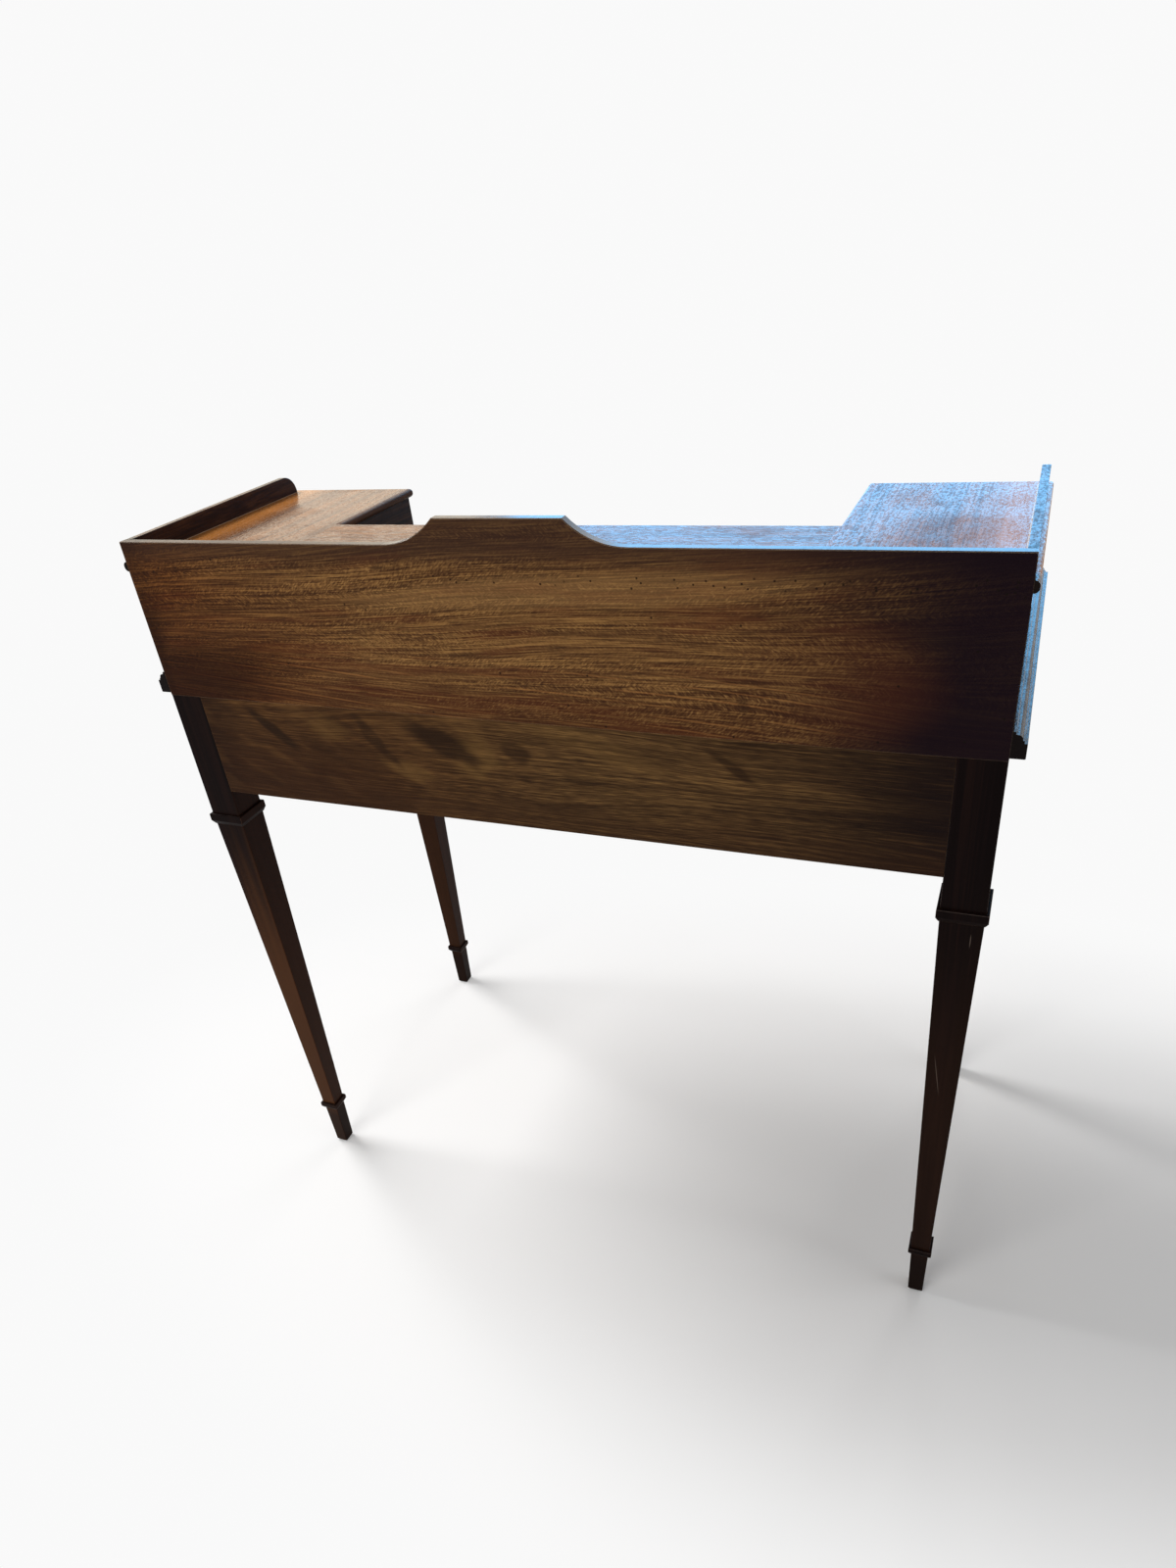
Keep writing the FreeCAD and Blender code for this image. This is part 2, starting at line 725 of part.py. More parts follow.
def make_frieze_drawer(label, side):
    """A drawer of the frieze, with its two posts and swinging bail."""
    gap, seat = size.drawer_gap, size.seat_gap
    span = across(side, half_divider + gap, leg_inner - gap)
    bottom, top = opening_bottom + gap, opening_top - gap
    front = make_front(f"{label}_front", span, rail_front, (bottom, top), size.front_thickness)
    middle = (span[0] + span[1]) / 2, (bottom + top) / 2
    hole_depth = size.front_thickness - size.spigot_cover
    for post in SIDES.values():
        drill(front, size.post_shank_radius + size.spigot_fit, hole_depth,
              middle[0] + size.handle_span / 2 * post, rail_front, middle[1], Y_AXIS)
    node(front)
    back = back_face - size.frieze_back_thickness - size.drawer_back_gap
    make_box(f"{label}_box", span, (rail_front + size.front_thickness, back),
             (opening_bottom + seat, top - size.side_drop), size.side_thickness,
             size.back_thickness, size.bottom_thickness, size.bottom_rise)
    make_posts(f"{label}_posts", middle[0], rail_front, middle[1], hole_depth - size.spigot_fit)
    make_bail(f"{label}_bail", middle[0], rail_front - size.post_length, middle[1])


def make_posts(label, x, y, z, shank_length):
    """Two turned posts, each with a rose against the drawer and a drilled ball for its head."""
    posts = []
    ball = size.post_head_radius
    neck_end = (ball * ball - size.post_radius * size.post_radius).root() - size.post_length
    for name, side in SIDES.items():
        post = new_body(f"{label}_{name}", x + size.handle_span / 2 * side, y, z)
        profile = new_sketch(post, "XY_Plane")
        corners = [
            (ZERO, shank_length), (size.post_shank_radius, shank_length),
            (size.post_shank_radius, ZERO), (size.rose_radius, ZERO),
            (size.rose_radius, -size.rose_thickness), (size.post_radius, -size.rose_thickness),
            (size.post_radius, neck_end), (ZERO, -(size.post_length + ball)),
        ]
        draw(profile, corners, {6: ((ZERO, -size.post_length), ball)})
        turn(profile)
        reach = ball + size.bail_pin_fit
        hole_radius = size.bail_radius + size.bail_pin_fit
        drill(post, hole_radius, reach * 2, -reach, -size.post_length, ZERO, X_AXIS)
        posts.append(post)
    node(group(label, posts))


def make_bail(label, x, y, z):
    """A drop handle: its two pins sit in the posts, and its bow hangs between shouldered arms."""
    bail = new_body(label, x, y, z)
    half_span = size.handle_span / 2
    pin = half_span - size.post_head_radius + size.bail_pin_setback
    arm = half_span + size.post_head_radius + size.bail_gap + size.bail_radius
    shoulder, drop, corner = size.bail_shoulder, size.bail_drop, size.bail_corner
    path = new_sketch(bail, "XZ_Plane")
    corners = [
        (-pin, ZERO), (shoulder - arm, ZERO), (-arm, -shoulder), (-arm, corner - drop),
        (corner - arm, -drop), (arm - corner, -drop), (arm, corner - drop), (arm, -shoulder),
        (arm - shoulder, ZERO), (pin, ZERO),
    ]
    arcs = {
        1: ((shoulder - arm, -shoulder), shoulder), 3: ((corner - arm, corner - drop), corner),
        5: ((arm - corner, corner - drop), corner), 7: ((arm - shoulder, -shoulder), shoulder),
    }
    draw(path, corners, arcs, closed=False)
    section = new_sketch(bail, "YZ_Plane")
    section.AttachmentOffset = FreeCAD.Placement()
    bind(section, "AttachmentOffset.Base.z", -pin)
    section.addGeometry(Part.Circle(FreeCAD.Vector(), Z_AXIS, size.bail_radius.value))
    section.addConstraint(Sketcher.Constraint("Coincident", 0, 3, -1, 1))
    hold(section, "Radius", (0,), size.bail_radius)
    sweep = bail.newObject("PartDesign::AdditivePipe", f"{label}_sweep")
    sweep.Profile = section
    sweep.Spine = (path, [])
    node(bail)


for end, at_back in (("back", True), ("front", False)):
    for name, side in SIDES.items():
        make_leg(f"{end}_{name}", side, at_back)
make_frieze()
make_table()
make_back_board()
make_stage()
bank_levels = {"lower": (size.table_height, shelf_bottom), "upper": (shelf_top, stage_ceiling)}
for name, side in SIDES.items():
    for level, levels in bank_levels.items():
        make_bank_drawer(f"{name}_{level}_drawer", side, levels)
    make_frieze_drawer(f"{name}_frieze_drawer", side)

doc.recompute()
for item in doc.Objects:
    if "Invalid" in item.State or "Error" in item.State:
        raise RuntimeError(f"{item.Label} did not recompute: {item.State}")
for part in nodes:
    if part.Shape.isNull() or not part.Shape.isValid():
        raise RuntimeError(f"{part.Label} has no valid shape")

os.makedirs("parts", exist_ok=True)
for part in nodes:
    part.Shape.exportStep(f"parts/{part.Label}.step")
print(f"{len(nodes)} sub-parts written")
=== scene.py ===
"""A bonheur du jour in mahogany: its finishes, the studio round it and the camera.

Sizes are in metres. X runs from the sitter's left to the sitter's right, Y from the
drawer side to the back board and Z up. The desk stands with its feet on Z = 0.
"""

import math

import bmesh
import bpy
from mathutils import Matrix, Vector


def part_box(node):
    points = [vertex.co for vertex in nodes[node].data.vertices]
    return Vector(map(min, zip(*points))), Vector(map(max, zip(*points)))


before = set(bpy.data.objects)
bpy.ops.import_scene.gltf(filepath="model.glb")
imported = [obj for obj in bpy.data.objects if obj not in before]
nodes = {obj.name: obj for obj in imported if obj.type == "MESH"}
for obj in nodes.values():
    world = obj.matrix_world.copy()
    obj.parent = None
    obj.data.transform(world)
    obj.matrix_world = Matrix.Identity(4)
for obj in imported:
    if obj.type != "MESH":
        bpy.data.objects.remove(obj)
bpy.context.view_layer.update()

# Places on the desk that the finishes follow. The back board's top edge is straight at both
# ends, level with the galleries, and that level is its shoulder.
board_inner, back = (corner.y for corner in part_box("back_board"))
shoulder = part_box("right_gallery")[1].z
gallery_inner, gallery_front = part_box("right_gallery")[0].xy
rail_foot, table_under = (corner.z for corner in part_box("frieze_back"))
lower_collar_height = 0.0116
lower_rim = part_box("back_left_collars")[0].z + lower_collar_height
upper_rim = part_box("back_left_collars")[1].z


# ---------------------------------------------------------------- colours and shader sums

def stain(red, green, blue):
    """A colour given as 0 to 255 on a screen, as the shaders want it."""
    def linear(level):
        level = level / 255
        return level / 12.92 if level <= 0.04045 else ((level + 0.055) / 1.055) ** 2.4
    return (linear(red), linear(green), linear(blue), 1.0)


def grey(level):
    """A plain grey, given as the shaders count it."""
    return (level, level, level, 1.0)


class Value:
    """One output of a node tree, which can be used in a Python sum."""

    def __init__(self, tree, socket):
        self.tree = tree
        self.socket = socket

    def __add__(self, other):
        return self.tree.math("ADD", self, other)

    __radd__ = __add__

    def __sub__(self, other):
        return self.tree.math("SUBTRACT", self, other)

    def __rsub__(self, other):
        return self.tree.math("SUBTRACT", other, self)

    def __mul__(self, other):
        return self.tree.math("MULTIPLY", self, other)

    __rmul__ = __mul__

    def __abs__(self):
        return self.tree.math("ABSOLUTE", self)


class Tree:
    """The nodes of a material or of the world."""

    def __init__(self, owner):
        owner.use_nodes = True
        self.tree = owner.node_tree
        self.tree.nodes.clear()

    def node(self, kind, settings=None, inputs=None, output=None):
        """Adds a node: its settings first, then the values or links of its sockets."""
        made = self.tree.nodes.new(kind)
        for name, setting in (settings or {}).items():
            if name == "stops":
                self.set_stops(made.color_ramp, setting)
            else:
                setattr(made, name, setting)
        for name, value in (inputs or {}).items():
            self.feed(self.socket(made.inputs, name), value)
        if made.outputs:
            return Value(self, self.socket(made.outputs, output))

    @staticmethod
    def set_stops(ramp, stops):
        while len(ramp.elements) < len(stops):
            ramp.elements.new(1.0)
        for element, (position, colour) in zip(ramp.elements, stops):
            element.position = position
            element.color = colour

    @staticmethod
    def socket(sockets, name):
        """The socket with a name or a number, or else the first that is in use."""
        if isinstance(name, int):
            return sockets[name]
        return next(socket for socket in sockets if socket.enabled and name in (None, socket.name))

    def feed(self, socket, value):
        if isinstance(value, Value):
            self.tree.links.new(value.socket, socket)
        else:
            socket.default_value = value

    def math(self, operation, first, second=0.0):
        return self.node("ShaderNodeMath", {"operation": operation}, {0: first, 1: second})

    def between(self, value, low, high, start=0.0, end=1.0):
        """Runs smoothly from start to end as the value goes from low to high."""
        return self.node("ShaderNodeMapRange", {"interpolation_type": "SMOOTHSTEP"},
                         {"Value": value, "From Min": low, "From Max": high,
                          "To Min": start, "To Max": end})

    def band(self, distance, solid, painted_light_low):
        """A line: 1 up to the distance solid from its middle, and 0 from the distance faded."""
        return self.between(abs(distance), solid, painted_light_low, 1.0, 0.0)

    def mix(self, amount, first, second, blend="MIX"):
        return self.node("ShaderNodeMix", {"data_type": "RGBA", "blend_type": blend},
                         {"Factor": amount, "A": first, "B": second})

    def ramp(self, value, *stops):
        return self.node("ShaderNodeValToRGB", {"stops": stops}, {"Fac": value}, "Color")


class Finish(Tree):
    """A material worked out from the place on the desk."""

    def __init__(self, name):
        self.material = bpy.data.materials.new(name)
        super().__init__(self.material)
        self.place = self.node("ShaderNodeTexCoord", output="Object")

    def spread(self, size, centre=(0, 0, 0), turn=(0, 0, 0), place=None):
        """The place counted in sizes along three axes, which have a centre and a turn."""
        return self.node("ShaderNodeMapping", {"vector_type": "TEXTURE"},
                         {"Vector": place or self.place, "Location": centre,
                          "Rotation": turn, "Scale": size})

    def noise(self, size, centre=(0, 0, 0), turn=(0, 0, 0), place=None, detail=2.0, rough=0.5):
        """Noise whose patches have that size along each axis."""
        return self.node("ShaderNodeTexNoise", None,
                         {"Vector": self.spread(size, centre, turn, place), "Scale": 1.0,
                          "Detail": detail, "Roughness": rough})

    def dots(self, spacing, radius, centre=(0, 0, 0), upright=False):
        """Soft round dots, one to each cell of an uneven net, or of a flat net that stands up."""
        turn = (math.pi / 2, 0, 0) if upright else (0, 0, 0)
        net = {"feature": "F1", "voronoi_dimensions": "2D" if upright else "3D"}
        gap = self.node("ShaderNodeTexVoronoi", net,
                        {"Vector": self.spread((spacing,) * 3, centre, turn), "Scale": 1.0},
                        "Distance")
        return self.between(gap, radius / spacing * 0.5, radius / spacing * 1.3, 1.0, 0.0)

    def spot(self, centre, size, turn=(0, 0, 0), place=None):
        """1 inside an ellipse, fading to 0 at its rim."""
        reach = self.node("ShaderNodeVectorMath", {"operation": "LENGTH"},
                          {0: self.spread(size, centre, turn, place)})
        return self.between(reach, 0.45, 1.0, 1.0, 0.0)

    def mark(self, centre, size, lean=0.0, place=None):
        """A spot on the back of the desk, with its centre and half sizes along X and Z."""
        (x, z), (half_length, half_height) = centre, size
        return self.spot((x, back, z), (half_length, 0.05, half_height), (0, lean, 0), place)

    def moved(self, amount, direction):
        """The place shifted along a direction by an amount that varies."""
        step = self.node("ShaderNodeVectorMath", {"operation": "SCALE"},
                         {0: direction, "Scale": amount})
        return self.node("ShaderNodeVectorMath", {"operation": "ADD"}, {0: self.place, 1: step})

    def part(self, axis, place=None):
        """One coordinate of the place."""
        return self.node("ShaderNodeSeparateXYZ", None, {"Vector": place or self.place}, axis)

    def facing(self, axis):
        """How squarely the surface faces along an axis, below zero where it faces back."""
        return self.part(axis, self.node("ShaderNodeNewGeometry", output="Normal"))

    def arris(self, radius):
        """The softened normal near edges, and how near an edge is, from 0 to 1."""
        soft = self.node("ShaderNodeBevel", {"samples": 6}, {"Radius": radius})
        flat = self.node("ShaderNodeNewGeometry", output="Normal")
        lean = self.node("ShaderNodeVectorMath", {"operation": "DOT_PRODUCT"}, {0: soft, 1: flat})
        return soft, self.between(1 - lean, 0.02, 0.22)

    def shader(self, colour, roughness, height, depth, normal=None, constants=None, **varying):
        """A surface shader. Height is 0 to 1 and depth its real size."""
        bump = {"Height": height, "Distance": depth, "Strength": 1.0}
        if normal:
            bump["Normal"] = normal
        inputs = {"Base Color": colour, "Roughness": roughness,
                  "Normal": self.node("ShaderNodeBump", None, bump)}
        inputs.update(constants or {})
        inputs.update({name.replace("_", " ").title(): value for name, value in varying.items()})
        return self.node("ShaderNodeBsdfPrincipled", None, inputs)

    def made_of(self, shader):
        """Ends the material in a shader."""
        self.node("ShaderNodeOutputMaterial", None, {"Surface": shader})
        return self.material

    def surface(self, *layers, **varying):
        return self.made_of(self.shader(*layers, **varying))


# ---------------------------------------------------------------- finishes

# How strongly waxed timber shines, and the stains of the polished parts from dark to light.
wax = 0.04
waxed = {"Specular IOR Level": wax}
warm = (stain(80, 45, 21), stain(110, 68, 33), stain(144, 93, 47))
brown = (stain(44, 26, 17), stain(68, 41, 26), stain(96, 62, 38))
red = (stain(46, 25, 15), stain(78, 43, 25), stain(112, 70, 40))
deep = (stain(24, 14, 12), stain(40, 24, 19), stain(64, 41, 30))
pale, tan = stain(222, 206, 186), stain(130, 104, 84)


def along(axis, length, across):
    """A size that has one length along the grain and another across it."""
    return tuple(length if name == axis else across for name in "XYZ")


def figure_centre(number, *steps):
    """Where the figure of a numbered board or leg is centred, so that no two match."""
    return tuple(number * step for step in steps)


def mahogany(name, axis, board, dark, middle, light, sheen=wax, gloss=0.0, open_grain=0.3,
             worn=None, by_gallery=False, dulled=None):
    """Solid mahogany under shellac, with a sheen all over and perhaps a gloss on its top.

    The grain under the gloss is open where it was never filled. The edges may be worn to
    another colour, which is also a painted highlight. A bank top has painted shade on its
    nosing and painted light by its gallery, and may have a dulled place.
    """
    finish = Finish(name)
    centre = figure_centre(board, 0.37, -0.53, 0.71)

    # Ribbons and streaks that sway across the grain, then dark dashes and pores.
    sway = finish.noise(along(axis, 0.5, 0.09), centre, detail=1.0)
    place = finish.moved(sway - 0.5, along(axis, 0.0, 0.05))
    ribbon = finish.noise(along(axis, 0.9, 0.012), centre, place=place, detail=1.5)
    streak = finish.noise(along(axis, 0.13, 0.0016), centre, place=place, detail=3.0)
    mottle = finish.noise(along(axis, 0.03, 0.02), centre, detail=2.0)
    tone = ribbon * 0.38 + streak * 0.47 + mottle * 0.15
    colour = finish.ramp(finish.between(tone, 0.36, 0.64),
                         (0.0, dark), (0.5, middle), (1.0, light))
    dash = finish.noise(along(axis, 0.035, 0.0011), centre, place=place, detail=2.0)
    colour = finish.mix(finish.between(dash, 0.56, 0.66) * 0.5, colour, dark)
    pore = finish.noise(along(axis, 0.0045, 0.0006), centre, detail=1.0)
    pore = finish.between(pore, 0.58, 0.7)
    colour = finish.mix(pore * 0.55, colour, dark)

    # Rubbed edges. A worn board on the right has painted shade on the side that faces left.
    soft, edge = finish.arris(0.0011)
    rub = finish.between(finish.noise((0.02, 0.02, 0.02), centre, detail=3.0), 0.42, 0.62)
    if worn:
        faces_left = finish.between(finish.facing("X"), -0.4, -0.8)
        painted_shade = faces_left * finish.between(finish.part("X"), 0, 0.1)
        colour = finish.mix(painted_shade * 0.5, colour, stain(22, 14, 16))
        # The worn colour on these edges is wear and a painted highlight.
        colour = finish.mix(edge * (rub * 0.3 + 0.6), colour, worn)
    else:
        colour = finish.mix(edge * rub * 0.6, colour, light)
    if by_gallery:
        colour = gallery_marks(finish, colour)

    # End grain. Boards that run to the back board are dark in that joint, with dirt and painted
    # shade, and their faces towards the back are near black with painted shade.
    end = finish.between(abs(finish.facing(axis)), 0.6, 0.9) * 0.9
    colour = finish.mix(end, colour, stain(42, 26, 18))
    if axis == "Y":
        behind = finish.between(finish.facing("Y"), 0.6, 0.9) * 0.95
        joint = finish.between(finish.part("Y"), board_inner - 0.0135, board_inner - 0.0025) * 0.9
        colour = finish.mix(finish.math("MAXIMUM", behind, joint), colour, stain(13, 9, 9))

    smear = finish.noise((0.06, 0.05, 0.06), centre, detail=3.0)
    roughness = 0.36 + pore * 0.2 + (smear - 0.5) * 0.25
    height = 0.6 - pore * 0.6 + streak * 0.3
    matt = finish.shader(colour, roughness, height, 0.00012, soft, {"Specular IOR Level": sheen})
    if not gloss:
        return finish.made_of(matt)

    # The gloss lies on upward faces, in small waves and with gaps where the grain is open.
    peel = finish.noise(along(axis, 0.0065, 0.0024), centre, detail=1.0)
    dull = finish.between(smear, 0.50, 0.66)
    roughness = 0.10 + pore * 0.25 + dull * 0.08 + abs(streak - 0.5) * 0.3
    polished = finish.shader(colour, roughness, height + peel * (3.0 * open_grain), 0.00013, soft,
                             {"Specular IOR Level": gloss})
    filled = finish.between(peel + (streak - 0.5) * 0.4, 0.36, 0.62, 1 - 0.62 * open_grain, 1.0)
    shine = finish.between(finish.facing("Z"), 0.2, 0.8) * filled * (1 - dull * 0.2)
    if dulled:
        shine = shine * (1 - finish.spot(*dulled) * (0.35 + smear * 0.4))
    return finish.made_of(finish.node("ShaderNodeMixShader", None,
                                      {"Fac": shine, 1: matt, 2: polished}))


def gallery_marks(finish, colour):
    """Marks a bank top: painted shade on its nosing, and by its gallery a golden strip of
    painted light and a pale line that is a painted highlight.
    """
    # Painted shade on the nosing where it turns down from the top.
    nosing = finish.between(finish.facing("Z"), 0.97, 0.6)
    colour = finish.mix(nosing * 0.7, colour, stain(38, 20, 13))
    line_gap = 0.0012
    from_gallery = gallery_inner - abs(finish.part("X"))
    # A golden strip of painted light beside the gallery.
    strip = finish.between(from_gallery, 0.052, 0.012)
    colour = finish.mix(strip * 0.6, colour, stain(198, 130, 62))
    # A pale line beside the gallery's foot, a painted highlight.
    line = finish.band(from_gallery - line_gap, 0.0005, 0.0011)
    line = line * finish.between(finish.part("Y"), gallery_front - 0.0035, gallery_front + 0.0015)
    return finish.mix(line * 0.7, colour, pale)


def ribbon_veneer():
    """The back board: ribbons of short flecks that lean one way and then the other.

    It is plum at the sitter's left, partly as painted shade, olive brown in the middle, and russet
    and then dark at the right, where the dark is painted shade beside the leg. The figure runs
    right through the thin board, so its patches are a metre deep.
    """
    finish = Finish("ribbon_veneer")
    x, z = finish.part("X"), finish.part("Z")

    # The lines of the figure sway, and climb more towards the top.
    sway = finish.noise((0.40, 1.0, 0.10), (0.13, 0, 0.4), detail=1.0) - 0.5
    climb = finish.between(z, 0.75, 0.84, -0.02, 0.075)
    place = finish.moved((x + 0.05) * climb + sway * 0.03, (0, 0, 1))

    # Ribbons, and flecks that rise in some of them and fall in the others.
    ribbon = finish.noise((1.6, 1.0, 0.011), place=place, detail=2.0)
    turnover = finish.noise((1.2, 1.0, 0.007), (0.3, 0, 0.2), place=place, detail=0.5)
    turnover = finish.between(turnover, 0.48, 0.52)
    rising = finish.noise((0.0042, 1.0, 0.0013), turn=(0, 0.6, 0), place=place, detail=1.0)
    falling = finish.noise((0.0042, 1.0, 0.0013), turn=(0, -0.6, 0), place=place, detail=1.0)
    fleck = rising * turnover + falling * (1 - turnover) - 0.5
    feathered = finish.noise((0.35, 1.0, 0.016), (0.7, 0, 0.1), place=place, detail=1.0)
    feathered = finish.between(feathered, 0.40, 0.56, 0.35, 1.0)
    strand = finish.noise((0.16, 1.0, 0.0038), (0.4, 0, 0.6), place=place, detail=1.0)
    streak = finish.noise((0.07, 1.0, 0.0013), (0.1, 0, 0.3), place=place, rough=0.6)
    tone = ribbon * 0.12 + strand * 0.16 + streak * 0.50 + fleck * feathered * 0.40
    colour = finish.ramp(finish.between(tone, 0.25, 0.53),
                         (0.0, stain(56, 35, 20)), (0.35, stain(84, 57, 33)),
                         (0.7, stain(106, 75, 43)), (1.0, stain(136, 100, 58)))

    # Single streaks that are reddish, golden or inky, and glinting flecks that are painted
    # highlights.
    blush = finish.noise((0.16, 1.0, 0.016), (0.8, 0, 0.3), place=place, detail=2.0)
    colour = finish.mix(finish.between(blush, 0.50, 0.62) * 0.45, colour, stain(80, 42, 24))
    gold = finish.noise((0.09, 1.0, 0.0012), (0.5, 0, 0.7), place=place)
    colour = finish.mix(finish.between(gold, 0.59, 0.68) * 0.5, colour, stain(150, 112, 64))
    glint = finish.between(fleck, 0.14, 0.22) * feathered
    colour = finish.mix(glint * 0.32, colour, stain(154, 118, 74))
    ink = finish.noise((0.026, 1.0, 0.0011), (0.9, 0, 0.5), place=place)
    colour = finish.mix(finish.between(ink, 0.60, 0.68) * 0.75, colour, stain(42, 26, 17))

    # Growth rings low down: thin light lines, each between two dark ones.
    ring = finish.node("ShaderNodeMath", {"operation": "PINGPONG"},
                       {0: z - x * 0.07 + sway * 0.03, 1: 0.0046})
    low_down = finish.between(z, 0.810, 0.775)
    seen = finish.noise((0.25, 1.0, 0.008), (0.2, 0, 0.9), place=place, detail=1.0)
    seen = finish.between(seen, 0.42, 0.58) * low_down
    line = finish.band(ring, 0.0003, 0.0009) * seen
    colour = finish.mix(line * 0.5, colour, stain(146, 98, 54))
    shade = finish.band(ring - 0.0015, 0.0003, 0.0010) * seen
    colour = finish.mix(shade * 0.45, colour, stain(48, 28, 17))

    # Large changes of colour: a light middle, and darker towards the foot, top and ends, where
    # the ends hold painted shade.
    cloud = finish.noise((0.16, 1.0, 0.09), (0.6, 0, 0.2), detail=3.0)
    russet = finish.between(x + (cloud - 0.5) * 0.35, 0.12, 0.44)
    colour = finish.mix(russet, colour, (0.64, 0.48, 0.39, 1.0), "MULTIPLY")
    low = finish.between(z + (cloud - 0.5) * 0.05, 0.79, 0.745)
    colour = finish.mix(low * 0.4, colour, stain(58, 27, 12))
    light = finish.mark((-0.06, shoulder - 0.040), (0.30, 0.022), place=place)
    colour = finish.mix(light * 0.3, colour, stain(142, 108, 68))
    top = finish.between(z + (cloud - 0.5) * 0.02, shoulder - 0.032, shoulder - 0.001)
    colour = finish.mix(top * 0.78, colour, stain(50, 33, 26))
    # Painted shade in the low corner by the right leg and down the end beside it.
    corner = finish.mark((0.45, 0.745), (0.22, 0.065), 0.2)
    end = finish.between(x, 0.405, 0.440) * finish.between(z, 0.87, 0.80, 0.5, 1.0)
    colour = finish.mix(finish.math("MAXIMUM", corner * 0.7, end * 0.8), colour, stain(26, 8, 2))
    # Plum at the sitter's left, partly the wood's colour and partly painted shade, with a lighter
    # place in it.
    plum = finish.between(x + (cloud - 0.5) * 0.16, -0.17, -0.40)
    glow = finish.mark((-0.285, 0.80), (0.125, 0.075), -0.1)
    colour = finish.mix(plum * 0.97, colour,
                        finish.mix(glow * 0.8, stain(17, 7, 15), stain(56, 27, 18)))

    # Worm holes here and there and in a row below the top, and a small dark patch.
    worm = finish.dots(0.075, 0.0012, (0.02, 0.01, 0.03), upright=True)
    row = finish.dots(0.012, 0.0011, (0.005, 0.003, 0.002), upright=True)
    row = row * finish.band(z - (shoulder - 0.029), 0.004, 0.007)
    holes = finish.math("MAXIMUM", worm, row * finish.between(cloud, 0.38, 0.46))
    colour = finish.mix(holes * 0.85, colour, stain(18, 11, 8))
    patch = finish.mark((-0.221, 0.771), (0.007, 0.012), 0.15)
    colour = finish.mix(patch * 0.5, colour, stain(46, 28, 18))

    # The face towards the sitter is darker, and the top edge is worn pale.
    inside = finish.between(finish.facing("Y"), -0.2, -0.8)
    colour = finish.mix(inside, colour, (0.62, 0.42, 0.36, 1.0), "MULTIPLY")
    soft, edge = finish.arris(0.0011)
    worn = edge * finish.between(z, shoulder - 0.013, shoulder - 0.002) * 0.7 + edge * 0.15
    colour = finish.mix(worn, colour, stain(196, 172, 140))

    pore = finish.noise((0.0045, 1.0, 0.0006), place=place, detail=1.0)
    pore = finish.between(pore, 0.56, 0.7)
    smear = finish.noise((0.11, 1.0, 0.05), detail=4.0)
    roughness = 0.36 + pore * 0.15 + (smear - 0.5) * 0.3
    height = fleck + 0.5 - pore * 0.5 - holes
    upward = finish.between(finish.facing("Z"), 0.4, 0.9)
    return finish.surface(colour, roughness, height, 0.00008, soft,
                          {"Specular IOR Level": wax, "Coat Roughness": 0.2},
                          coat_weight=upward * finish.between(x, 0.05, 0.25, 1.0, 0.5))


